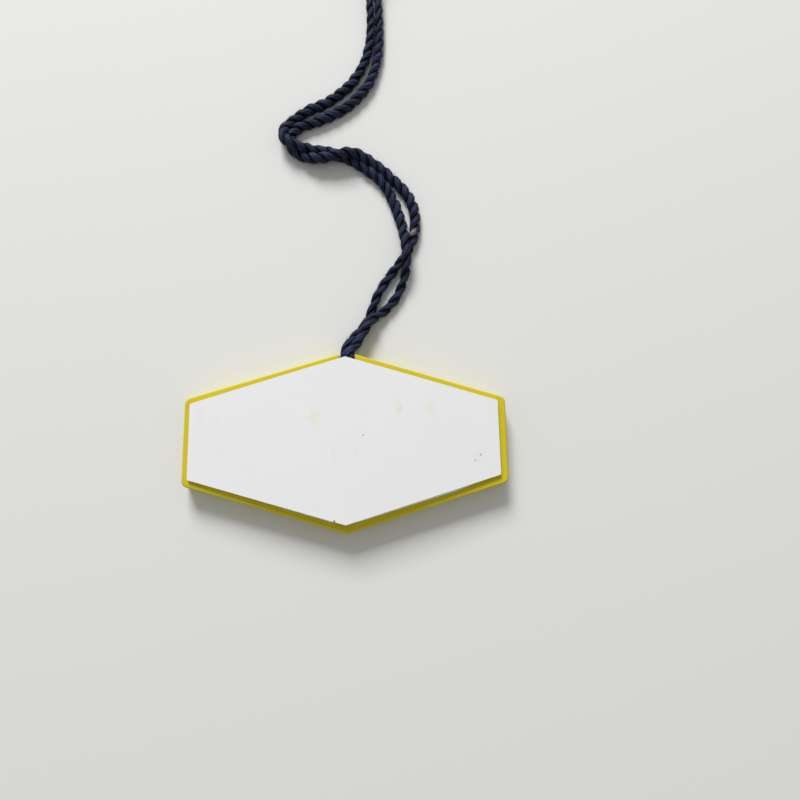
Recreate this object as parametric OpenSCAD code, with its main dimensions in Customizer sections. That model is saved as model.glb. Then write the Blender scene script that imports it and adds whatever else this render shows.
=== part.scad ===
// Flat six-sided tag on a doubled cord: a moulded body with a cord notch, pocket and post, an adhesive pad,
// a face sheet stuck on it, and one cord that is looped round the post and tied together at its ends.
// Millimetres. The tag lies on its back: +X along its width, +Y towards the cord, +Z out of the face sheet.

/* [Body] */
// Width over the two upright sides
body_w = 48; // [40:0.5:60]
// Height between the lower and the upper vertex, before their rounding
body_h = 27.2; // [24:0.1:32]
// Length of each upright side
body_side = 12.8; // [9:0.1:15]
// Rounding of the six corners in plan
corner_r = 1; // [0.6:0.1:2]
// Rounding of the outer edges
edge_r = 0.3; // [0.2:0.05:0.5]
// Floor of the body under the cord pocket
floor_t = 1; // [0.8:0.1:2]

/* [Face sheet] */
// Rim of the body that shows round the sheet
rim_w = 1.1; // [0.8:0.1:2]
// Thickness of the sheet
sheet_t = 0.35; // [0.2:0.05:1]
// How far left of the middle the sheet was stuck on
sheet_left = 0.16; // [0:0.02:0.3]
// How far towards the cord the sheet was stuck on
sheet_up = 0.14; // [0:0.02:0.3]
// Turn of the sheet against the body, in degrees
sheet_turn = 0.3; // [0:0.1:0.5]
// How far the sheet's two ends stoop below its flat middle
sheet_stoop = 0.5; // [0.2:0.05:0.55]
// Width of the sheet's flat middle
flat_w = 8; // [4:1:16]

/* [Adhesive pad] */
// Thickness of the pad
pad_t = 0.65; // [0.3:0.05:1]
// Width of the pad over its upright ends
pad_w = 40.4; // [36:0.2:44]
// Margin of the pad's slanting edges inside the sheet's
pad_margin = 0.3; // [0.2:0.05:0.6]
// How far the pad sits below the sheet's middle
pad_drop = 0.45; // [0:0.05:0.6]
// Clockwise turn of the pad against the sheet, in degrees
pad_turn = 0.5; // [0:0.1:0.8]
// Tip that is cut off the pad's lower vertex
pad_tip = 0.6; // [0.2:0.1:2]

/* [Cord] */
// Diameter of one leg of the cord
cord_d = 1.2; // [1:0.05:1.4]
// Gap between the two legs in the notch
leg_gap = 0.05; // [0.02:0.01:0.1]
// Height of the right leg above the left leg in the notch
leg_rise = 0.88; // [0.6:0.02:1]
// Play beside the legs in the notch and round the loop in the pocket
cord_play = 0.2; // [0.2:0.05:0.5]
// Clearance of the cord over the pocket's floor and under the pad
cord_clear = 0.06; // [0.04:0.01:0.2]

/* [Post] */
// Diameter of the post that the cord is looped round
post_d = 1.8; // [1.4:0.1:2.4]
// Distance of the post's axis from the upper vertex
post_in = 4.6; // [4.4:0.1:6]
// Clearance of the loop round the post
loop_clear = 0.1; // [0.08:0.01:0.2]
// Gap over the post, under the pad
post_gap = 0.1; // [0.05:0.05:0.3]
// Length of the notch's straight run, from the upper vertex
notch_run = 1.6; // [1.2:0.1:2]
// Where the pocket's flare to the notch leaves the round pocket, in degrees
flare_angle = 30; // [20:5:40]

/* [Knot] */
// Largest diameter of the knot at the cord's ends
knot_d = 5; // [4.4:0.1:6]
// Diameter of the knot's end faces
knot_end_d = 3.4; // [2.8:0.1:4]
// Length of the knot
knot_l = 5.4; // [4.8:0.1:7]
// Length of the tails past the knot
tail_l = 6; // [4:0.5:9]
// Spread of each tail from the knot's axis, in degrees
tail_spread = 14; // [8:1:20]

/* [Hidden] */
$fn = 48;

// Steps of the quarter round on the body's edges, and sides of its corners
edge_steps = 4;
corner_fn = 32;
// Sides of the cord's tube, and steps of the loop round the post
cord_sides = 8;
loop_steps = 8;
// Steps of the sheet's stoop on each side, and the power of its curve
stoop_steps = 7;
stoop_power = 1.5;
// Overlap that lets a cut pass a face, and a tail reach into its knot
over = 1;

// Rise of the slanting sides for each unit of width
slant = (body_h - body_side) / body_w;
// Height of one leg beside the other fixes the pocket's depth, and the pocket and floor fix the body
pocket_h = cord_d + leg_rise + 2 * cord_clear;
body_t = floor_t + pocket_h;
pad_top = body_t + pad_t;
sheet_top = pad_top + sheet_t;

leg_pitch = cord_d + leg_gap;
leg_x = sqrt(pow(leg_pitch, 2) - pow(leg_rise, 2)) / 2;
left_z = floor_t + cord_clear + cord_d / 2;
right_z = left_z + leg_rise;
mouth_y = body_h / 2;
run_y = mouth_y - notch_run;
post_y = mouth_y - post_in;
notch_w = 2 * leg_x + cord_d + 2 * cord_play;
loop_r = post_d / 2 + loop_clear + cord_d / 2;
pocket_r = loop_r + cord_d / 2 + cord_play;

// Where the front face of the knot stands on the table
knot_x = 4.2;
knot_y = 84;
knot_z = knot_d / 2;

// Routes of the two legs over the table, from the notch to the knot
left_route = [
    [0.19, 15.4, 1.37], [1.21, 17.06, 1.04], [2.61, 19.11, 0.74], [3.77, 21.31, 0.62],
    [4.81, 23.57, 0.63], [6.09, 25.74, 0.63], [7.54, 27.76, 0.62], [8.99, 29.8, 0.62],
    [10.17, 32.01, 0.64], [10.85, 34.4, 0.68], [10.98, 36.9, 0.71], [10.49, 39.33, 0.7],
    [9.28, 41.51, 0.7], [7.63, 43.38, 0.7], [5.82, 45.1, 0.75], [4, 46.34, 1.05], [2.18, 47.38, 1.46],
    [0.33, 47.57, 2.02], [-1.58, 47.18, 2.1], [-3.47, 46.79, 1.97], [-5.37, 46.67, 1.59],
    [-7.13, 47.27, 1.07], [-8.7, 48.39, 0.7], [-9.53, 50.15, 0.68], [-9.02, 51.95, 0.72],
    [-7.46, 53.1, 0.7], [-5.63, 53.79, 0.69], [-3.86, 54.57, 0.69], [-2.12, 55.5, 0.69],
    [-0.49, 56.54, 0.72], [0.99, 57.79, 0.7], [3.62, 61.31, 0.69], [4.98, 65.47, 0.7],
    [5.45, 69.84, 0.73], [5.42, 74.23, 0.97], [5.18, 78.59, 1.5]
];
right_route = [
    [1.42, 15.25, 2.09], [2.53, 16.77, 1.58], [4.08, 18.64, 0.99], [5.76, 20.44, 0.64],
    [7.29, 22.42, 0.63], [8.49, 24.62, 0.71], [9.21, 26.95, 1.26], [9.44, 29.36, 1.94],
    [9.31, 31.84, 1.9], [9.04, 34.23, 1.21], [8.5, 36.63, 0.71], [7.75, 39.02, 0.7], [6.75, 41.31, 0.7],
    [5.37, 43.38, 0.72], [3.48, 45.03, 0.68], [1.9, 46.14, 0.69], [0.23, 47.11, 0.68],
    [-1.62, 47.75, 0.7], [-3.4, 48.28, 0.79], [-5.28, 48.44, 1.14], [-7.12, 48.52, 1.7],
    [-9.06, 49.05, 2.1], [-10.36, 50.33, 1.82], [-10.51, 52.07, 1.12], [-9.46, 53.64, 0.72],
    [-8.01, 54.94, 0.7], [-6.41, 56.06, 0.72], [-4.66, 56.9, 0.7], [-2.97, 57.87, 0.7],
    [0.3, 60.79, 0.7], [2.57, 64.54, 0.7], [3.73, 68.77, 0.71], [3.98, 73.16, 0.88], [3.82, 77.53, 1.34]
];

function unit(v) = v / norm(v);

// Corners of the body's outline, drawn in by a margin, from the upper vertex on round
function outline(margin) = let (
    w = body_w / 2 - margin,
    h = body_h / 2 - margin * sqrt(1 + pow(slant, 2)),
    s = h - slant * w
) [[0, h], [w, s], [w, -s], [0, -h], [-w, -s], [-w, s]];

// Line of the sheet's underside over the body, from its left end to its right end and a little past both
function underside() = let (
    end = body_w / 2 - rim_w,
    run = end - flat_w / 2,
    right = [
        for (k = [0 : stoop_steps])
            let (part = k / stoop_steps)
                [flat_w / 2 + part * run, pad_t - sheet_stoop * pow(part, stoop_power)]
    ],
    last = right[stoop_steps] + [over, 0]
) concat(
    [[-last.x, last.y]],
    [for (k = [stoop_steps : -1 : 0]) [-right[k].x, right[k].y]],
    right, [last]
);

// Directions along a path: given at its two ends, and from neighbour to neighbour between them
function along(path, first, last) = [
    for (i = [0 : len(path) - 1])
        i == 0 ? first : i == len(path) - 1 ? last : unit(path[i + 1] - path[i - 1])
];

function ring(at, dir, d) = let (
    side = unit(cross([0, 0, 1], dir)),
    up = cross(dir, side)
) [
    for (k = [0 : cord_sides - 1])
        let (a = (k + 0.5) * 360 / cord_sides)
            at + d / 2 * (cos(a) * side + sin(a) * up)
];

module tube(path, d, first, last) {
    n = len(path);
    m = cord_sides;
    dirs = along(path, first, last);
    points = [for (i = [0 : n - 1]) each ring(path[i], dirs[i], d)];
    walls = [
        for (i = [0 : n - 2], k = [0 : m - 1])
            let (a = i * m + k, b = i * m + (k + 1) % m)
                each [[a, a + m, b], [b, a + m, b + m]]
    ];
    start_cap = [for (k = [1 : m - 2]) [0, k, k + 1]];
    end_cap = [for (k = [1 : m - 2]) [(n - 1) * m, (n - 1) * m + k + 1, (n - 1) * m + k]];
    polyhedron(points, concat(walls, start_cap, end_cap));
}

// One corner of the body: a short post with both its edges rounded
module corner_puck() {
    r = corner_r - edge_r;
    profile = concat(
        [[0, 0]],
        [for (k = [0 : edge_steps]) let (a = k * 90 / edge_steps)
            [r + edge_r * sin(a), edge_r * (1 - cos(a))]],
        [for (k = [0 : edge_steps]) let (a = k * 90 / edge_steps)
            [r + edge_r * cos(a), body_t - edge_r * (1 - sin(a))]],
        [[0, body_t]]
    );
    rotate_extrude($fn = corner_fn) polygon(profile);
}

// Round pocket for the loop, flaring into the notch that opens at the upper vertex
module cord_pocket() {
    flare = [pocket_r * cos(flare_angle), post_y + pocket_r * sin(flare_angle)];
    half = notch_w / 2;
    translate([0, 0, floor_t]) {
        translate([0, post_y, 0]) cylinder(h = pocket_h + over, d = 2 * pocket_r);
        linear_extrude(pocket_h + over) polygon([
            flare, [half, run_y], [half, mouth_y + over],
            [-half, mouth_y + over], [-half, run_y], [-flare.x, flare.y], [0, post_y]
        ]);
    }
}

module tag_body() {
    color("#cfbe2c") {
        difference() {
            hull() for (p = outline(corner_r)) translate(p) corner_puck();
            cord_pocket();
        }
        translate([0, post_y, floor_t - floor_t / 2])
            cylinder(h = floor_t / 2 + pocket_h - post_gap, d = post_d);
    }
}

// Everything that is stuck on the face turns and shifts with the sheet
module stuck_on() {
    translate([-sheet_left, sheet_up, 0]) rotate(sheet_turn) children();
}

// A profile of width and height, drawn out along Y past both ends of the tag
module drawn_out(profile) {
    translate([0, body_h, body_t]) rotate([90, 0, 0]) linear_extrude(2 * body_h) polygon(profile);
}

module adhesive_pad() {
    shape = outline(rim_w + pad_margin);
    line = underside();
    end = body_w;
    color("#d9d6c0") stuck_on() intersection() {
        translate([0, -pad_drop, body_t]) rotate(-pad_turn) linear_extrude(pad_t + over) intersection() {
            polygon(shape);
            translate([-pad_w / 2, shape[3].y + pad_tip]) square([pad_w, body_h]);
        }
        drawn_out(concat([[-end, -over], [-end, line[0].y]], line, [[end, line[0].y], [end, -over]]));
    }
}

module face_sheet() {
    line = underside();
    upper = [for (k = [len(line) - 1 : -1 : 0]) line[k] + [0, sheet_t]];
    color("#ececea") stuck_on() intersection() {
        translate([0, 0, body_t]) linear_extrude(pad_t + sheet_t + over) polygon(outline(rim_w));
        drawn_out(concat(line, upper));
    }
}

// The middle of the cord, from the left mouth round the post to the right mouth
module cord_anchor_loop() {
    reach = [leg_x, notch_run - post_in];
    touch = atan2(post_in - notch_run, leg_x) - acos(loop_r / norm(reach));
    turn = 180 + 2 * touch;
    bend = [
        for (k = [0 : loop_steps])
            let (a = 180 - touch + k * turn / loop_steps)
                [loop_r * cos(a), post_y + loop_r * sin(a), left_z + leg_rise * k / loop_steps]
    ];
    path = concat(
        [[-leg_x, mouth_y, left_z], [-leg_x, run_y, left_z]], bend,
        [[leg_x, run_y, right_z], [leg_x, mouth_y, right_z]]
    );
    color("#20243a") tube(path, cord_d, [0, -1, 0], [0, 1, 0]);
}

module cord_left_leg() {
    path = concat([[-leg_x, mouth_y, left_z]], left_route, [[knot_x + leg_pitch / 2, knot_y, knot_z]]);
    color("#20243a") tube(path, cord_d, [0, 1, 0], [0, 1, 0]);
}

module cord_right_leg() {
    path = concat([[leg_x, mouth_y, right_z]], right_route, [[knot_x - leg_pitch / 2, knot_y, knot_z]]);
    color("#20243a") tube(path, cord_d, [0, 1, 0], [0, 1, 0]);
}

module cord_end_knot() {
    bulge = (knot_d - knot_end_d) / 2;
    round_r = (pow(knot_l / 2, 2) + pow(bulge, 2)) / (2 * bulge);
    color("#20243a") translate([knot_x, knot_y + knot_l / 2, knot_z]) {
        rotate([-90, 0, 0]) rotate_extrude() intersection() {
            translate([knot_d / 2 - round_r, 0]) circle(round_r, $fn = 96);
            translate([0, -knot_l / 2]) square([knot_d / 2, knot_l]);
        }
        for (s = [-1, 1]) {
            dir = [s * sin(tail_spread), cos(tail_spread), 0];
            start = [s * leg_pitch / 2, knot_l / 2 - over, 0];
            down = [0, 0, cord_d / 2 - knot_z];
            tube([start, start + (over + tail_l) * dir + down], cord_d, dir, dir);
        }
    }
}

tag_body();
adhesive_pad();
face_sheet();
cord_anchor_loop();
cord_left_leg();
cord_right_leg();
cord_end_knot();
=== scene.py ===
import math

import bmesh
import bpy
import numpy as np
from mathutils import Matrix, Vector


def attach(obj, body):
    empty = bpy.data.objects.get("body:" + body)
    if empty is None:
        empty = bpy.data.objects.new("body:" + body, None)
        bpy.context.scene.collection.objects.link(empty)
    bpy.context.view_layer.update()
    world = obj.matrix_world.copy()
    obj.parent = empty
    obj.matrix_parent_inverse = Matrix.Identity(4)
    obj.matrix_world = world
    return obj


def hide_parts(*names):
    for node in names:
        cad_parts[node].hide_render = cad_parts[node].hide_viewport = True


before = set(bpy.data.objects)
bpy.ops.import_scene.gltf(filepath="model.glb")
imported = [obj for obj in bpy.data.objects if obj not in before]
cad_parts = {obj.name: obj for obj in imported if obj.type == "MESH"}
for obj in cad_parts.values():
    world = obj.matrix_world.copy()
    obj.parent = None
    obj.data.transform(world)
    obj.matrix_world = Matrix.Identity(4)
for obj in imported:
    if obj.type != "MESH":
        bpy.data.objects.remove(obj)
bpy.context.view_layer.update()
mm = 0.001
print("frame loaded:", sorted(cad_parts))


def linear(hexColour):  # sRGB hex to the linear values that shaders take
    parts = [int(hexColour[i:i + 2], 16) / 255 for i in (1, 3, 5)]
    return [c / 12.92 if c <= 0.04045 else ((c + 0.055) / 1.055) ** 2.4 for c in parts] + [1.0]


def addNode(tree, kind, inputs=None, **settings):  # an input takes a value or another node's output
    node = tree.nodes.new(kind)
    for name, value in settings.items():
        setattr(node, name, value)
    for name, value in (inputs or {}).items():
        if isinstance(value, bpy.types.NodeSocket):
            tree.links.new(value, node.inputs[name])
        else:
            node.inputs[name].default_value = value
    return node


def startMaterial(name):
    material = bpy.data.materials.new(name)
    material.use_nodes = True
    return material, material.node_tree, material.node_tree.nodes["Principled BSDF"]


# Studio: pale floor, soft light from the back, camera over the tag
cameraView = dict(target=(7.95, 5.86, 4.2), distance=89.4, azimuth=-13.865, elevation=79.687,
                  roll=13.239, lens=27.0, sensor=36.0, nearest=5.0)
studio = dict(floor="#DCDCDA", floorSize=4.0, floorDrop=0.02, floorRoughness=0.9,  # size in m, drop in mm
              world="#FFFFFF", worldStrength=0.4,
              keyPlace=(-0.2, 0.8, 0.57), keySize=0.38, keyPower=10.8)  # the lamp, in metres and watts


def makeCamera(view):
    a, e, r = (math.radians(view[k]) for k in ("azimuth", "elevation", "roll"))
    back = Vector((math.sin(a) * math.cos(e), -math.cos(a) * math.cos(e), math.sin(e)))
    level = (-back).cross(Vector((0, 0, 1))).normalized()
    up = level.cross(-back)
    right = math.cos(r) * level + math.sin(r) * up
    top = math.cos(r) * up - math.sin(r) * level
    bpy.ops.object.camera_add()
    camera = bpy.context.object
    camera.data.lens = view["lens"]
    camera.data.sensor_width = view["sensor"]
    camera.data.clip_start = view["nearest"] * mm
    place = (Vector(view["target"]) + view["distance"] * back) * mm
    camera.matrix_world = Matrix.Translation(place) @ Matrix((right, top, back)).transposed().to_4x4()
    bpy.context.scene.camera = camera


def makeStudio(look):
    bpy.ops.mesh.primitive_plane_add(size=look["floorSize"], location=(0, 0, -look["floorDrop"] * mm))
    floor = bpy.context.object
    floor.name = "floor"
    paper, _, shader = startMaterial("matt studio paper")  # even and dull, so only the shadow shows
    shader.inputs["Base Color"].default_value = linear(look["floor"])
    shader.inputs["Roughness"].default_value = look["floorRoughness"]
    floor.data.materials.append(paper)
    world = bpy.data.worlds.new("soft room")
    world.use_nodes = True
    room = world.node_tree.nodes["Background"]
    room.inputs["Color"].default_value = linear(look["world"])
    room.inputs["Strength"].default_value = look["worldStrength"]
    bpy.context.scene.world = world
    bpy.ops.object.light_add(type="AREA", location=look["keyPlace"])
    key = bpy.context.object
    key.data.size = look["keySize"]
    key.data.energy = look["keyPower"]
    key.rotation_euler = Vector(look["keyPlace"]).to_track_quat("Z", "Y").to_euler()


bpy.context.scene.view_settings.view_transform = "Standard"
makeCamera(cameraView)
makeStudio(studio)
print("studio and camera ready")

# Cord: one line from tail to tail, through the knot and round the post in the tag
cordShape = dict(
    plies=2, step=0.16, sides=28, yarns=6, groove=0.08, rib=1.5, yarnLay=12.0, tableGap=0.01,
    wobble=0.045, waves=[(1.9, 2.1), (0.77, 1.0), (3.7, 2.6)], sway=2.2,  # how unevenly it is twisted
    inward=1.2, outward=1.06,  # how far a ply fills the middle and bulges out
    reach=[14, 16, 20, 28, 36, 56, 70, 84],  # the y at which each value of the next three rows holds
    diameter=[1.38, 1.4, 1.42, 1.45, 1.75, 1.75, 1.5, 1.15],
    flat=[1.6, 1.4, 1.2, 1.15, 1.25, 1.25, 1.2, 1.3],  # the notch and the knot press it flat
    lay=[4.9, 4.9, 4.9, 4.8, 3.8, 3.8, 4.2, 4.2])  # thicker and more twisted where it lies slack
fuzzShape = dict(perMm=60, shortest=0.2, longest=1.1, radius=0.015, taper=(1, 0.9, 0.4), root=0.36,
                 stand=0.6, droop=0.3, fromTag=0.6, shade=0.8, seed=7)
lintSpot = dict(place=(10.5, 34.1, 1.3), radius=1.05)
cordPost = dict(y=9.0, loopRadius=1.6, runY=12.0, mouthY=13.6, legX=0.444, leftZ=1.66, rise=0.88, steps=8)
leftRoute = [
    (0.22, 15.38, 1.33), (1.56, 17.02, 0.82), (3.08, 19, 0.66), (3.95, 21.25, 0.62),
    (4.81, 23.57, 0.63), (6.09, 25.74, 0.63), (7.54, 27.76, 0.62), (8.99, 29.8, 0.62),
    (10.17, 32.01, 0.64), (10.85, 34.4, 0.68), (10.98, 36.9, 0.71), (10.49, 39.33, 0.7),
    (9.28, 41.51, 0.7), (7.63, 43.38, 0.7), (5.82, 45.1, 0.75), (4, 46.34, 1.05), (2.18, 47.38, 1.46),
    (0.33, 47.57, 2.02), (-1.58, 47.18, 2.1), (-3.47, 46.79, 1.85), (-5.37, 46.73, 1.59),
    (-7.13, 47.27, 1.07), (-8.7, 48.39, 0.7), (-9.53, 50.15, 0.68), (-9.02, 51.95, 0.72),
    (-7.46, 53.1, 0.7), (-5.63, 53.79, 0.69), (-3.86, 54.57, 0.69), (-2.12, 55.5, 0.69),
    (-0.49, 56.54, 0.72), (0.99, 57.79, 0.7), (3.62, 61.31, 0.69), (4.98, 65.47, 0.7),
    (5.45, 69.84, 0.73), (5.42, 74.23, 0.97), (5.18, 78.59, 1.5)]
rightRoute = [
    (1.6, 15.26, 2.15), (2.42, 16.88, 1.98), (3.62, 18.86, 1.75), (4.6, 19.8, 1.12), (5.62, 20.62, 0.7),
    (7.29, 22.42, 0.63), (8.49, 24.62, 0.71), (9.21, 26.95, 1.26), (9.44, 29.36, 1.94),
    (9.31, 31.84, 1.9), (9.04, 34.23, 1.21), (8.5, 36.63, 0.71), (7.75, 39.02, 0.7), (6.75, 41.31, 0.7),
    (5.37, 43.38, 0.72), (3.48, 45.03, 0.68), (1.9, 46.14, 0.69), (0.23, 47.11, 0.68),
    (-1.62, 47.75, 0.7), (-3.4, 48.28, 0.95), (-5.28, 48.32, 1.18), (-7.12, 48.52, 1.7),
    (-9.06, 49.05, 2.1), (-10.36, 50.33, 1.82), (-10.51, 52.07, 1.12), (-9.46, 53.64, 0.72),
    (-8.01, 54.94, 0.7), (-6.41, 56.06, 0.72), (-4.66, 56.9, 0.7), (-2.97, 57.87, 0.7),
    (0.3, 60.79, 0.7), (2.57, 64.54, 0.7), (3.73, 68.77, 0.71), (3.98, 73.16, 0.88), (3.82, 77.53, 1.34)]
leftKnot = [
    (4.82, 84, 2.5), (4.23, 84.91, 2.19), (4.43, 85.83, 1.89), (4.74, 86.75, 1.69), (5.4, 87.28, 1.23),
    (6.33, 87.14, 1.18), (6.86, 86.66, 1.8), (6.61, 86.24, 2.62), (5.96, 86.05, 3.36),
    (5.08, 85.94, 3.73), (4.22, 85.97, 3.3), (3.72, 86.04, 2.44), (3.52, 85.82, 1.54),
    (4.22, 85.4, 1.04), (5.07, 85.24, 1.44), (5.25, 85.59, 2.32), (5.03, 86.44, 2.75), (4.88, 87.39, 3),
    (5.01, 88.37, 3.06), (4.45, 89.25, 2.8), (3.75, 90, 2.45), (3.3, 90.9, 2.05), (3.05, 91.8, 1.72),
    (2.82, 92.7, 1.42), (2.6, 93.6, 1.12), (2.36, 94.5, 0.82), (2.2, 95, 0.66)]
rightKnot = [
    (3.58, 84, 2.5), (2.85, 84.87, 2.62), (2.67, 85.84, 2.74), (2.99, 86.74, 2.64), (3.81, 87.16, 2.37),
    (4.48, 87.83, 2.07), (5.35, 88.22, 1.85), (6.31, 88.09, 1.82), (6.96, 87.65, 2.35),
    (6.74, 87.27, 3.22), (5.95, 87.23, 3.78), (5.01, 87.37, 4.09), (4.12, 87.6, 3.79),
    (3.59, 87.99, 3.05), (3.28, 88.09, 2.14), (3.52, 87.61, 1.33), (4.09, 86.99, 0.79),
    (4.84, 86.39, 0.63), (5.59, 86.21, 1.2), (5.82, 86.67, 1.99), (5.89, 87.48, 2.57),
    (6.24, 88.31, 2.88), (6.2, 89.2, 2.7), (5.9, 90.1, 2.35), (5.7, 91, 2), (5.66, 91.95, 1.68),
    (5.78, 92.9, 1.37), (5.95, 93.8, 1.05), (6.1, 94.5, 0.82), (6.22, 95, 0.66)]


def loopRoute(post):  # from the left mouth round the post to the right mouth
    x, run, radius = post["legX"], post["runY"] - post["y"], post["loopRadius"]
    touch = math.atan2(run, x) - math.acos(radius / math.hypot(x, run))
    bend = []
    for k in range(post["steps"] + 1):
        share = k / post["steps"]
        angle = math.pi - touch + share * (math.pi + 2 * touch)
        bend.append((radius * math.cos(angle), post["y"] + radius * math.sin(angle),
                     post["leftZ"] + share * post["rise"]))
    low, high = post["leftZ"], post["leftZ"] + post["rise"]
    into = [(-x, post["mouthY"], low), (-x, post["runY"], low)]
    return into + bend + [(x, post["runY"], high), (x, post["mouthY"], high)]


def smoothRoute(points, step, between=24):  # a smooth curve through the points, in even steps
    p = np.array(points, float)
    p = np.vstack([2 * p[0] - p[1], p, 2 * p[-1] - p[-2]])
    fine = []
    for a, b, c, d in zip(p[:-3], p[1:-2], p[2:-1], p[3:]):
        for t in np.linspace(0, 1, between, endpoint=False):
            fine.append(0.5 * (2 * b + (c - a) * t + (2 * a - 5 * b + 4 * c - d) * t ** 2
                               + (3 * b - a - 3 * c + d) * t ** 3))
    fine = np.array(fine + [p[-2]])
    along = np.concatenate([[0], np.cumsum(np.linalg.norm(np.diff(fine, axis=0), axis=1))])
    even = np.linspace(0, along[-1], int(along[-1] / step) + 1)
    return np.stack([np.interp(even, along, fine[:, k]) for k in range(3)], 1)


def layCord(route, shape):  # every step's heading and thickness, and how far its plies have turned
    ahead = np.gradient(route, axis=0)
    ahead /= np.linalg.norm(ahead, axis=1)[:, None]
    side = np.zeros_like(ahead)
    last = np.cross(ahead[0], (0, 0, 1.0))
    for i, t in enumerate(ahead):  # carried along so that it never spins
        last = last - last.dot(t) * t
        last /= np.linalg.norm(last)
        side[i] = last
    along = np.concatenate([[0], np.cumsum(np.linalg.norm(np.diff(route, axis=0), axis=1))])
    lay, thick, flat = [np.interp(route[:, 1], shape["reach"], shape[key])
                        for key in ("lay", "diameter", "flat")]
    turn = np.concatenate([[0], np.cumsum(2 * math.pi * np.diff(along) / lay[1:])])
    return dict(route=route, ahead=ahead, side=side, up=np.cross(ahead, side), along=along,
                lay=lay, thick=thick, flat=flat, turn=turn)


def plyRings(line, ply, shape):  # one ply: a soft strand of yarns, laid right-handed round the middle
    thick, along = line["thick"], line["along"]
    turn = line["turn"] + 2 * math.pi * ply / shape["plies"]
    uneven = shape["wobble"] * sum(np.sin(along * rate + ply * shift) for rate, shift in shape["waves"])
    turn = turn + shape["sway"] * uneven * (ply - 0.5)
    out = np.cos(turn)[:, None] * line["side"] + np.sin(turn)[:, None] * line["up"]
    wrap = -np.sin(turn)[:, None] * line["side"] + np.cos(turn)[:, None] * line["up"]
    offset = thick / 4
    slope = np.arctan(2 * math.pi * offset / line["lay"])[:, None]
    across = np.cross(np.cos(slope) * line["ahead"] + np.sin(slope) * wrap, out)
    around = np.linspace(-math.pi, math.pi, shape["sides"], endpoint=False)
    yarn = np.cos(shape["yarns"] * (around[None] + 2 * math.pi * along[:, None] / shape["yarnLay"]))
    swell = (1 + uneven)[:, None] * (1 + shape["groove"] * yarn) * thick[:, None] / 4
    deep = swell * np.cos(around) * np.where(np.cos(around) < 0, shape["inward"], shape["outward"])
    wide = swell * np.sin(around) * line["flat"][:, None]
    middle = line["route"] + offset[:, None] * out
    rings = middle[:, None] + deep[..., None] * out[:, None] + wide[..., None] * across[:, None]
    # how far out from the cord's middle; the material paints shade low on it and sheen high on it
    crown = np.linalg.norm(rings - line["route"][:, None], axis=2) / (thick[:, None] / 2)
    return rings, crown + shape["rib"] * shape["groove"] * yarn


def strayFibres(line, first, last, look, chance):  # fine three-sided hairs that stand off the yarn
    hairs = []
    count = int((line["along"][last] - line["along"][first]) * look["perMm"])
    for at in chance.integers(first, last, count):
        angle, lean, curl = chance.uniform(0, 2 * math.pi), chance.uniform(-1, 1), chance.uniform(-1, 1)
        ahead = line["ahead"][at]
        away = math.cos(angle) * line["side"][at] + math.sin(angle) * line["up"][at]
        length = look["shortest"] + (look["longest"] - look["shortest"]) * chance.random() ** 2
        if line["route"][at][1] < cordPost["mouthY"] + look["fromTag"]:  # the tag presses them flat
            continue
        heading = look["stand"] * away + lean * ahead
        curve = np.cross(ahead, away) * curl - look["droop"] * away
        root = line["route"][at] + look["root"] * line["thick"][at] * away
        corners = away, -0.5 * away + 0.87 * ahead, -0.5 * away - 0.87 * ahead
        for u, size in zip((0, 0.5, 1), look["taper"]):
            point = root + length * (u * heading + 0.5 * u * u * curve)
            hairs.append([point + look["radius"] * size * corner for corner in corners])
    return np.array(hairs)


def twistedCord(name, line, spans, shape, chance):  # plies and stray fibres for these spans of the line
    verts, faces, uvs, crowns, n = [], [], [], [], shape["sides"]
    for first, last in spans:
        cut = slice(first, last + 1)
        along = line["along"][cut]
        for ply in range(shape["plies"]):
            rings, crown = (part[cut] for part in plyRings(line, ply, shape))
            base = sum(len(v) for v in verts)
            verts.append(rings.reshape(-1, 3))
            crowns.append(crown.ravel())
            for i, (low, high) in enumerate(zip(along, along[1:])):
                for k in range(n):
                    a, b = base + i * n + k, base + i * n + (k + 1) % n
                    faces.append((a, b, b + n, a + n))
                    uvs += [(k / n, low), ((k + 1) / n, low), ((k + 1) / n, high), (k / n, high)]
            for ring, flip in ((base, True), (base + (len(rings) - 1) * n, False)):
                cap = [ring + k for k in range(n)]
                faces.append(tuple(reversed(cap) if flip else cap))
                uvs += [(k / n, along[0]) for k in range(n)]
        hairs = strayFibres(line, first, last, fuzzShape, chance)
        base = sum(len(v) for v in verts)
        verts.append(hairs.reshape(-1, 3))
        # hairs sit at the dark, painted-shade end of that ramp
        crowns.append(np.full(len(hairs) * 3, fuzzShape["shade"]))
        for root in range(base, base + len(hairs) * 3, 9):  # a hair has three rings of three corners
            start = len(faces)
            for ring in (root, root + 3):
                for k in range(3):
                    a, b = ring + k, ring + (k + 1) % 3
                    faces.append((a, b, b + 3, a + 3))
            faces += [(root + 2, root + 1, root), (root + 6, root + 7, root + 8)]
            uvs += [(0.5, 0.0)] * sum(len(face) for face in faces[start:])
    verts = np.vstack(verts)
    verts[:, 2] = np.maximum(verts[:, 2], shape["tableGap"])  # it flattens where it lies on the table
    apart = np.linalg.norm(verts - np.array(lintSpot["place"]), axis=1)
    lint = np.clip(1 - apart / lintSpot["radius"], 0, 1)
    mesh = bpy.data.meshes.new(name)
    mesh.from_pydata((verts * mm).tolist(), [], faces)
    mesh.uv_layers.new(name="yarn").data.foreach_set("uv", np.array(uvs, np.float32).ravel())
    for key, values in (("crown", np.concatenate(crowns)), ("lint", lint)):
        mesh.attributes.new(key, "FLOAT", "POINT").data.foreach_set("value", values.astype(np.float32))
    mesh.polygons.foreach_set("use_smooth", [True] * len(mesh.polygons))
    piece = bpy.data.objects.new(name, mesh)
    bpy.context.scene.collection.objects.link(piece)
    return piece


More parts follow.
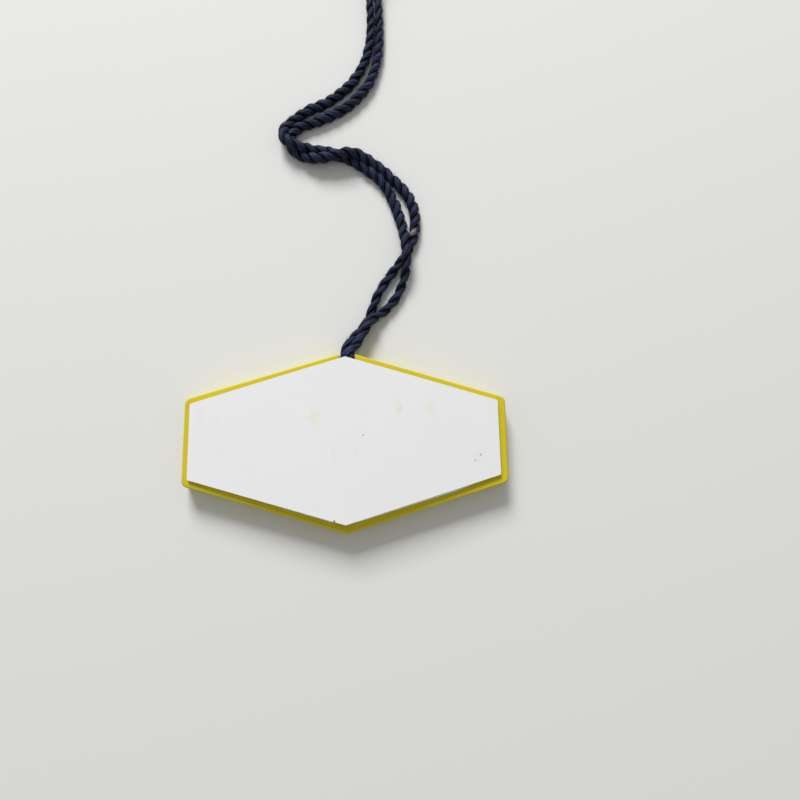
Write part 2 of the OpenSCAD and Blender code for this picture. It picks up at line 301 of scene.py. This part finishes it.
def makeCord():
    loop = loopRoute(cordPost)
    whole = smoothRoute(leftKnot[::-1] + leftRoute[::-1] + loop + rightRoute + rightKnot, cordShape["step"])
    line = layCord(whole, cordShape)
    knotIn, mouthLeft, mouthRight, knotOut = [
        int(np.argmin(np.linalg.norm(whole - np.array(p), axis=1)))
        for p in (leftKnot[0], loop[0], loop[-1], rightKnot[0])]
    chance = np.random.default_rng(fuzzShape["seed"])
    spans = {"cordLeftLeg": [(knotIn, mouthLeft)],
             "cordAnchorLoop": [(mouthLeft, mouthRight)],
             "cordRightLeg": [(mouthRight, knotOut)],
             "cordEndKnot": [(0, knotIn), (knotOut, len(whole) - 1)]}
    return {name: (twistedCord(name, line, parts, cordShape, chance), whole[parts[0][0]:parts[0][1] + 1])
            for name, parts in spans.items()}


cords = makeCord()
carries = {"cordLeftLeg": "cordAnchorLoop", "cordRightLeg": "cordEndKnot"}  # what each leg runs on into
for name, node in (("cordLeftLeg", "cord_left_leg"), ("cordAnchorLoop", "cord_anchor_loop"),
                   ("cordRightLeg", "cord_right_leg"), ("cordEndKnot", "cord_end_knot")):
    piece, line = cords[name]
    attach(piece, "cord")
    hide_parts(node)
    if name in carries:
        line = line[::-1] if name == "cordLeftLeg" else line
print("cord laid out")

# Tag: what the body, the pad and the sheet share
tagOutline = dict(width=48.0, height=27.2, side=12.8)
rounding = dict(cornerSteps=8, edgeSteps=5, barSides=64, near=0.01,
                sharp=40, smooth=35)  # angles in degrees


def outline(margin):  # six corners, drawn in by a margin, from the upper vertex on round
    slant = (tagOutline["height"] - tagOutline["side"]) / tagOutline["width"]
    w = tagOutline["width"] / 2 - margin
    h = tagOutline["height"] / 2 - margin * math.hypot(1, slant)
    shoulder = h - slant * w
    return [(0, h), (w, shoulder), (w, -shoulder), (0, -h), (-w, -shoulder), (-w, shoulder)]


def pick(piece, wanted, kind="verts"):  # select in edit mode what passes a test, and nothing else
    bpy.ops.mesh.select_mode(type="VERT" if kind == "verts" else "EDGE")
    bpy.ops.mesh.select_all(action="DESELECT")
    form = bmesh.from_edit_mesh(piece.data)
    for item in getattr(form, kind):
        item.select = wanted(item)
    form.select_flush_mode()
    bmesh.update_edit_mesh(piece.data)


def plate(name, corners, bottom, top, cornerRadius=0.0, edgeRadius=0.0):  # an outline pulled up
    bpy.ops.object.select_all(action="DESELECT")
    bpy.ops.mesh.primitive_circle_add(vertices=len(corners), radius=mm, fill_type="NGON")
    piece = bpy.context.object
    piece.name = piece.data.name = name
    for vertex, (x, y) in zip(piece.data.vertices, corners):
        vertex.co = (x * mm, y * mm, bottom * mm)
    bpy.ops.object.mode_set(mode="EDIT")
    for i, corner in enumerate(corners if cornerRadius else []):  # each rounds from where its angle asks
        here, before = Vector(corner), Vector(corners[i - 1])
        after = Vector(corners[(i + 1) % len(corners)])
        start = cornerRadius / math.tan((before - here).angle(after - here) / 2)
        pick(piece, lambda v: (v.co.xy / mm - here).length < rounding["near"])
        bpy.ops.mesh.bevel(offset=start * mm, segments=rounding["cornerSteps"], affect="VERTICES",
                           clamp_overlap=False)
    bpy.ops.mesh.select_all(action="SELECT")
    bpy.ops.mesh.extrude_region_move(TRANSFORM_OT_translate={"value": (0, 0, (top - bottom) * mm)})
    bpy.ops.mesh.select_all(action="SELECT")
    bpy.ops.mesh.normals_make_consistent(inside=False)
    if edgeRadius:
        pick(piece, lambda e: abs(e.verts[0].co.z - e.verts[1].co.z) < rounding["near"] * mm, "edges")
        bpy.ops.mesh.bevel(offset=edgeRadius * mm, segments=rounding["edgeSteps"], affect="EDGES",
                           clamp_overlap=False)
    bpy.ops.object.mode_set(mode="OBJECT")
    return piece


def roundBar(name, x, y, bottom, top, radius):
    bpy.ops.object.select_all(action="DESELECT")
    bpy.ops.mesh.primitive_cylinder_add(
        vertices=rounding["barSides"], radius=radius * mm, depth=(top - bottom) * mm,
        location=(x * mm, y * mm, (bottom + top) / 2 * mm))
    bpy.ops.object.transform_apply(location=True)
    bpy.context.object.name = name
    return bpy.context.object


def takeUp(piece):  # the one piece that the next operator works on
    bpy.ops.object.select_all(action="DESELECT")
    piece.select_set(True)
    bpy.context.view_layer.objects.active = piece


def applyModifier(piece, kind, **settings):
    modifier = piece.modifiers.new(kind.lower(), kind)
    for key, value in settings.items():
        setattr(modifier, key, value)
    takeUp(piece)
    bpy.ops.object.modifier_apply(modifier=modifier.name)


def combine(piece, tool, operation):  # cut a tool out of a piece, fuse it on, or keep what they share
    applyModifier(piece, "BOOLEAN", object=tool, operation=operation, solver="EXACT")
    bpy.data.objects.remove(tool)


def softenEdges(piece, radius, steps):  # round every edge that is still sharp
    applyModifier(piece, "BEVEL", width=radius * mm, segments=steps, limit_method="ANGLE",
                  angle_limit=math.radians(rounding["sharp"]))


def smoothShade(piece):
    takeUp(piece)
    bpy.ops.object.shade_smooth_by_angle(angle=math.radians(rounding["smooth"]))
    applyModifier(piece, "WEIGHTED_NORMAL", keep_sharp=True)  # flat faces stay flat up to their edges


# Moulded body: rounded six-sided plate with the cord's pocket, notch and post
bodyShape = dict(thickness=3.2, floor=1.0, cornerRadius=1.0, edgeRadius=0.3, notchWidth=2.488,
                 pocketRadius=2.4, flare=30, postRadius=0.9, postTop=3.1, softEdge=0.07, softSteps=2,
                 cutTop=5.0, past=1.0, wearAndHighlightSlope=(0.2, 0.98), wearAndHighlightFrom=2.0)


def makeBody(shape):
    body = plate("tagBody", outline(0), 0, shape["thickness"], shape["cornerRadius"], shape["edgeRadius"])
    half, postY, run = shape["notchWidth"] / 2, cordPost["y"], cordPost["runY"]
    mouth, floor, radius = cordPost["mouthY"] + shape["past"], shape["floor"], shape["pocketRadius"]
    flare = math.radians(shape["flare"])
    x, y = radius * math.cos(flare), postY + radius * math.sin(flare)
    notch = [(x, y), (half, run), (half, mouth), (-half, mouth), (-half, run), (-x, y), (0, postY)]
    combine(body, plate("notchCut", notch, floor, shape["cutTop"]), "DIFFERENCE")
    combine(body, roundBar("pocketCut", 0, postY, floor, shape["cutTop"], radius), "DIFFERENCE")
    combine(body, roundBar("post", 0, postY, floor / 2, shape["postTop"], shape["postRadius"]), "UNION")
    softenEdges(body, shape["softEdge"], shape["softSteps"])
    wearAndHighlight = body.data.attributes.new("edgeWearAndHighlight", "FLOAT", "POINT")  # 1 on the rounded outer edges, painted paler there for rubbed wear and an edge highlight
    least, most = shape["wearAndHighlightSlope"]
    for vertex, value in zip(body.data.vertices, wearAndHighlight.data):
        slope, outer = abs(vertex.normal.z), abs(vertex.co.x) > shape["wearAndHighlightFrom"] * mm
        value.value = 1.0 if least < slope < most and outer else 0.0
    smoothShade(body)
    return body


# Face sheet: stuck on a little askew, level in the middle and stooping to both ends
sheetShape = dict(bottom=3.85, thickness=0.35, rim=1.1, left=0.16, up=0.14, turn=0.3, cornerRadius=0.3,
                  edgeRadius=0.05, edgeSteps=3, flat=8.0, stoop=0.5, power=1.5, steps=20,
                  spare=1.0, past=2.0, slab=20.0)  # stock to trim off, and the trimming slab's reach


def stuckOn(x, y):  # where the sheet's own place comes to lie on the body
    a = math.radians(sheetShape["turn"])
    return (x * math.cos(a) - y * math.sin(a) - sheetShape["left"],
            x * math.sin(a) + y * math.cos(a) + sheetShape["up"])


def underside(shape):  # the sheet's lower face across the tag
    end, level, right = tagOutline["width"] / 2 - shape["rim"], shape["flat"] / 2, []
    for k in range(shape["steps"] + 1):
        part = k / shape["steps"]
        drop = shape["stoop"] * part ** shape["power"]
        right.append((level + part * (end - level), shape["bottom"] - drop))
    right.append((end + shape["past"], right[-1][1]))
    return [(-x, z) for x, z in reversed(right)] + right


def trimToLine(piece, lower, upper):  # keep what lies between two lines, drawn out along the tag's height
    slab = plate("slab", lower + upper[::-1], -sheetShape["slab"], sheetShape["slab"])
    for vertex in slab.data.vertices:
        x, z, y = vertex.co / mm
        vertex.co = Vector((*stuckOn(x, -y), z)) * mm
    combine(piece, slab, "INTERSECT")


def makeSheet(shape):
    corners = [stuckOn(x, y) for x, y in outline(shape["rim"])]
    sheet = plate("faceSheet", corners, shape["bottom"] - shape["spare"], shape["bottom"] + shape["spare"],
                  shape["cornerRadius"])
    line = underside(shape)
    trimToLine(sheet, line, [(x, z + shape["thickness"]) for x, z in line])
    softenEdges(sheet, shape["edgeRadius"], shape["edgeSteps"])
    smoothShade(sheet)
    return sheet


# Adhesive pad: cut by hand and a little askew, so it shows along the two lower edges
padShape = dict(bottom=3.2, width=40.4, margin=1.4, drop=0.45, turn=0.5, tip=0.6, step=0.7,
                ragged=0.018, cutWaves=[(2.3, 1.1, 1.0), (5.1, -2.7, 0.6)], cutSize=(24, 12.5),
                trimRise=0.35, trimRun=4)  # its lower right end is cut in a little


def makePad(shape):
    up = outline(shape["margin"])
    slant, low, half = (up[0][1] - up[1][1]) / up[1][0], up[3][1] + shape["tip"], shape["width"] / 2
    tipX, edge, run = shape["tip"] / slant, up[0][1] - slant * half, shape["trimRun"]
    trimmed = (half, shape["trimRise"] - edge), (half - run, -edge - run * slant)
    corners = [(0, up[0][1]), (half, edge), *trimmed, (tipX, low), (-tipX, low),
               (-half, -edge), (-half, edge)]
    turn, points = -math.radians(shape["turn"]), []
    for i, a in enumerate(corners):  # the knife wandered, so no edge is quite straight
        b = corners[(i + 1) % len(corners)]
        count = max(1, round(math.dist(a, b) / shape["step"]))
        for k in range(count):
            x, y = a[0] + (b[0] - a[0]) * k / count, a[1] + (b[1] - a[1]) * k / count
            pull = shape["ragged"] * sum(s * math.sin(p * x + q * y) for p, q, s in shape["cutWaves"])
            x, y = x * (1 + pull / shape["cutSize"][0]), y * (1 + pull / shape["cutSize"][1])
            points.append(stuckOn(x * math.cos(turn) - y * math.sin(turn),
                                  x * math.sin(turn) + y * math.cos(turn) - shape["drop"]))
    pad = plate("adhesivePad", points, shape["bottom"], sheetShape["bottom"] + sheetShape["spare"])
    line = underside(sheetShape)
    trimToLine(pad, [(x, shape["bottom"] - sheetShape["spare"]) for x, _ in line], line)
    smoothShade(pad)
    return pad


tagPieces = {"tag_body": makeBody(bodyShape), "adhesive_pad": makePad(padShape),
             "face_sheet": makeSheet(sheetShape)}
for node, slot in (("tag_body", "yellow_plastic"), ("adhesive_pad", "adhesive_foam"),
                   ("face_sheet", "white_sheet")):
    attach(tagPieces[node], "tag")
    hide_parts(node)
print("tag modelled")


# Looks: what the materials share, with the sizes of patterns in mm
def cloudy(tree, place, size, detail):  # noise with patches about this wide
    return addNode(tree, "ShaderNodeTexNoise",
                   {"Vector": place, "Scale": 1 / (size * mm), "Detail": detail})


def blend(tree, share, first, second):  # from one colour to another
    return addNode(tree, "ShaderNodeMix", {"Factor": share, "A": first, "B": second},
                   data_type="RGBA").outputs["Result"]


def remap(tree, value, source=(0.0, 1.0), target=(0.0, 1.0), **settings):  # one range onto another
    limits = {"From Min": source[0], "From Max": source[1], "To Min": target[0], "To Max": target[1]}
    return addNode(tree, "ShaderNodeMapRange", {"Value": value, **limits}, **settings).outputs["Result"]


def relief(tree, height, depth, strength):  # fine bumps of this depth
    return addNode(tree, "ShaderNodeBump", {"Strength": strength, "Distance": depth * mm,
                                            "Height": height}).outputs["Normal"]


# ABS, injection moulded: even colour, soft gloss, a fine mould grain, paler and greenish on the rounded
# outer edges for rubbed wear and a painted edge highlight
plasticLook = dict(deep="#C5B420", light="#CEBE2A", rubbedAndHighlight="#C9C050", roughness=(0.5, 0.65), specular=0.12,
                   cloud=9.0, grit=1.2, grain=0.25, grainDepth=0.02, grainStrength=0.12)


def mouldedAbs(look):
    material, tree, shader = startMaterial("yellow moulded ABS")
    place = addNode(tree, "ShaderNodeTexCoord").outputs["Object"]
    cloud = cloudy(tree, place, look["cloud"], 3.0).outputs["Fac"]
    tint = blend(tree, cloud, linear(look["deep"]), linear(look["light"]))
    rubAndHighlight = addNode(tree, "ShaderNodeAttribute", attribute_name="edgeWearAndHighlight").outputs["Fac"]
    grit = cloudy(tree, place, look["grit"], 4.0).outputs["Fac"]
    wornAndHighlight = addNode(tree, "ShaderNodeMath", {0: rubAndHighlight, 1: grit}, operation="MULTIPLY").outputs[0]
    # paler, greenish rounded edges: rubbed wear and a painted edge highlight, broken up by grit noise
    colour = blend(tree, wornAndHighlight, tint, linear(look["rubbedAndHighlight"]))
    grain = cloudy(tree, place, look["grain"], 2.0).outputs["Fac"]
    bump = relief(tree, grain, look["grainDepth"], look["grainStrength"])
    gloss = remap(tree, grit, target=look["roughness"])
    tree.links.new(colour, shader.inputs["Base Color"])
    tree.links.new(gloss, shader.inputs["Roughness"])
    tree.links.new(bump, shader.inputs["Normal"])
    shader.inputs["Specular IOR Level"].default_value = look["specular"]
    return material


# Acrylic foam tape, knife cut: dull off-white with fine open pores
foamLook = dict(deep="#F0EDDC", light="#FBF9F0", roughness=0.75, pore=0.3, poreDepth=0.03, poreStrength=0.4)


def foamTape(look):
    material, tree, shader = startMaterial("off-white foam tape")
    place = addNode(tree, "ShaderNodeTexCoord").outputs["Object"]
    pores = cloudy(tree, place, look["pore"], 4.0).outputs["Fac"]
    tint = blend(tree, pores, linear(look["deep"]), linear(look["light"]))
    bump = relief(tree, pores, look["poreDepth"], look["poreStrength"])
    tree.links.new(tint, shader.inputs["Base Color"])
    tree.links.new(bump, shader.inputs["Normal"])
    shader.inputs["Roughness"].default_value = look["roughness"]
    return material


# Coated card, die cut: smooth dull white with a faint mottle, yellowed spots and a few dark specks
cardLook = dict(
    white="#E8E8E8", mottle="#E4E4E5", stain="#D9DAB0", smudge="#D2D0CC", speck="#8C8C88", grit="#3E382E",
    roughness=0.6, specular=0.2, cloud=7.0, fibre=0.35, fibreDepth=0.02, fibreStrength=0.06,
    fray=1.1, frayReach=1.6, core=0.1, speckStrength=0.75, gritStrength=0.9,
    stains=[(-4.75, 3.45, 1.3, 2.0, 0.36), (7.75, 4.7, 0.85, 1.5, 0.42), (12.5, 4.6, 1.3, 1.3, 0.22),
            (-1.72, -1.9, 0.6, 1.9, 0.2), (1.35, -1.9, 0.8, 1.7, 0.16),
            (-4.3, 1.3, 0.7, 0.9, 0.16)],  # place, half width, half height, strength
    smudges=[(-21.4, 3.75, 0.9, 1.5, 0.2), (-19.1, 2.7, 0.7, 1.0, 0.16), (19.3, -2.7, 1.4, 1.4, 0.12),
             (-11.9, 4.57, 0.5, 0.45, 0.22)],
    specks=[(19.82, -2.37, 0.24), (19.0, -3.22, 0.22)],  # place and radius
    grits=[(-1.74, -11.74, 0.26), (2.46, 0.65, 0.16)])


def coatedCard(look):
    material, tree, shader = startMaterial("white coated card")
    place = addNode(tree, "ShaderNodeTexCoord").outputs["Object"]
    cloud = cloudy(tree, place, look["cloud"], 3.0).outputs["Fac"]
    colour = blend(tree, cloud, linear(look["white"]), linear(look["mottle"]))
    warp = cloudy(tree, place, look["fray"], 3.0).outputs["Color"]
    shift = addNode(tree, "ShaderNodeVectorMath", {0: warp, 1: (0.5, 0.5, 0.5)}, operation="SUBTRACT")
    shift = addNode(tree, "ShaderNodeVectorMath", {0: shift.outputs[0], "Scale": look["frayReach"] * mm},
                    operation="SCALE")
    ragged = addNode(tree, "ShaderNodeVectorMath", {0: place, 1: shift.outputs[0]},
                     operation="ADD").outputs[0]
    spots = [(*mark, look["stain"], ragged) for mark in look["stains"]]
    spots += [(*mark, look["smudge"], ragged) for mark in look["smudges"]]
    spots += [(x, y, r, r, look["speckStrength"], look["speck"], place) for x, y, r in look["specks"]]
    spots += [(x, y, r, r, look["gritStrength"], look["grit"], place) for x, y, r in look["grits"]]
    for x, y, wide, high, strength, tint, where in spots:
        away = addNode(tree, "ShaderNodeVectorMath", {0: where, 1: (x * mm, y * mm, 0.0)},
                       operation="SUBTRACT")
        away = addNode(tree, "ShaderNodeVectorMath",
                       {0: away.outputs[0], 1: (1 / (wide * mm), 1 / (high * mm), 0.0)},
                       operation="MULTIPLY")
        away = addNode(tree, "ShaderNodeVectorMath", {0: away.outputs[0]}, operation="LENGTH")
        fade = remap(tree, away.outputs["Value"], (look["core"], 1.0), (strength, 0.0),
                     interpolation_type="SMOOTHSTEP")
        colour = blend(tree, fade, colour, linear(tint))
    fibres = cloudy(tree, place, look["fibre"], 3.0).outputs["Fac"]
    bump = relief(tree, fibres, look["fibreDepth"], look["fibreStrength"])
    tree.links.new(colour, shader.inputs["Base Color"])
    tree.links.new(bump, shader.inputs["Normal"])
    shader.inputs["Roughness"].default_value = look["roughness"]
    shader.inputs["Specular IOR Level"].default_value = look["specular"]
    return material


# Cotton cord, two-ply: navy, painted near-black in the grooves as painted shade and violet on the crowns as
# a painted sheen, streaked by its fibres
yarnLook = dict(groove="#03060F", crown="#303B5E", fibre="#141D3A", lint="#8E8C86",
                roughness=0.7, specular=0.2, shadeToSheenRange=(0.8, 1.12),
                streaks=(12.0, 0.6, 1.0), streakRange=(0.35, 0.65), fibreDepth=0.03, fibreStrength=0.5,
                crumb=0.16, tuftRange=(0.1, 0.4), tuft=0.85)


def navyYarn(look):
    material, tree, shader = startMaterial("navy twisted cotton")
    crown = addNode(tree, "ShaderNodeAttribute", attribute_name="crown").outputs["Fac"]
    yarn = addNode(tree, "ShaderNodeUVMap", uv_map="yarn").outputs["UV"]  # across a ply, and along it in mm
    drawn = addNode(tree, "ShaderNodeMapping", {"Vector": yarn, "Scale": look["streaks"]}).outputs["Vector"]
    fibres = addNode(tree, "ShaderNodeTexNoise",
                     {"Vector": drawn, "Scale": 1.0, "Detail": 3.0}).outputs["Fac"]
    streak = remap(tree, fibres, look["streakRange"])
    paintedSheen = blend(tree, streak, linear(look["fibre"]), linear(look["crown"]))
    # painted shade in the grooves and painted sheen on the outermost crowns, by distance from the cord's
    # middle
    colour = blend(tree, remap(tree, crown, look["shadeToSheenRange"]), linear(look["groove"]), paintedSheen)
    lint = addNode(tree, "ShaderNodeAttribute", attribute_name="lint").outputs["Fac"]
    place = addNode(tree, "ShaderNodeTexCoord").outputs["Object"]
    crumbs = cloudy(tree, place, look["crumb"], 3.0).outputs["Fac"]
    tuft = addNode(tree, "ShaderNodeMath", {0: lint, 1: crumbs}, operation="MULTIPLY").outputs[0]
    tuft = remap(tree, tuft, look["tuftRange"], (0.0, look["tuft"]))
    colour = blend(tree, tuft, colour, linear(look["lint"]))
    bump = relief(tree, fibres, look["fibreDepth"], look["fibreStrength"])
    tree.links.new(colour, shader.inputs["Base Color"])
    tree.links.new(bump, shader.inputs["Normal"])
    shader.inputs["Roughness"].default_value = look["roughness"]
    shader.inputs["Specular IOR Level"].default_value = look["specular"]
    return material


def dress(piece, material):
    piece.data.materials.clear()
    piece.data.materials.append(material)


navy = navyYarn(yarnLook)
dress(tagPieces["tag_body"], mouldedAbs(plasticLook))
dress(tagPieces["adhesive_pad"], foamTape(foamLook))
dress(tagPieces["face_sheet"], coatedCard(cardLook))
for piece, _ in cords.values():
    dress(piece, navy)
print("materials set")
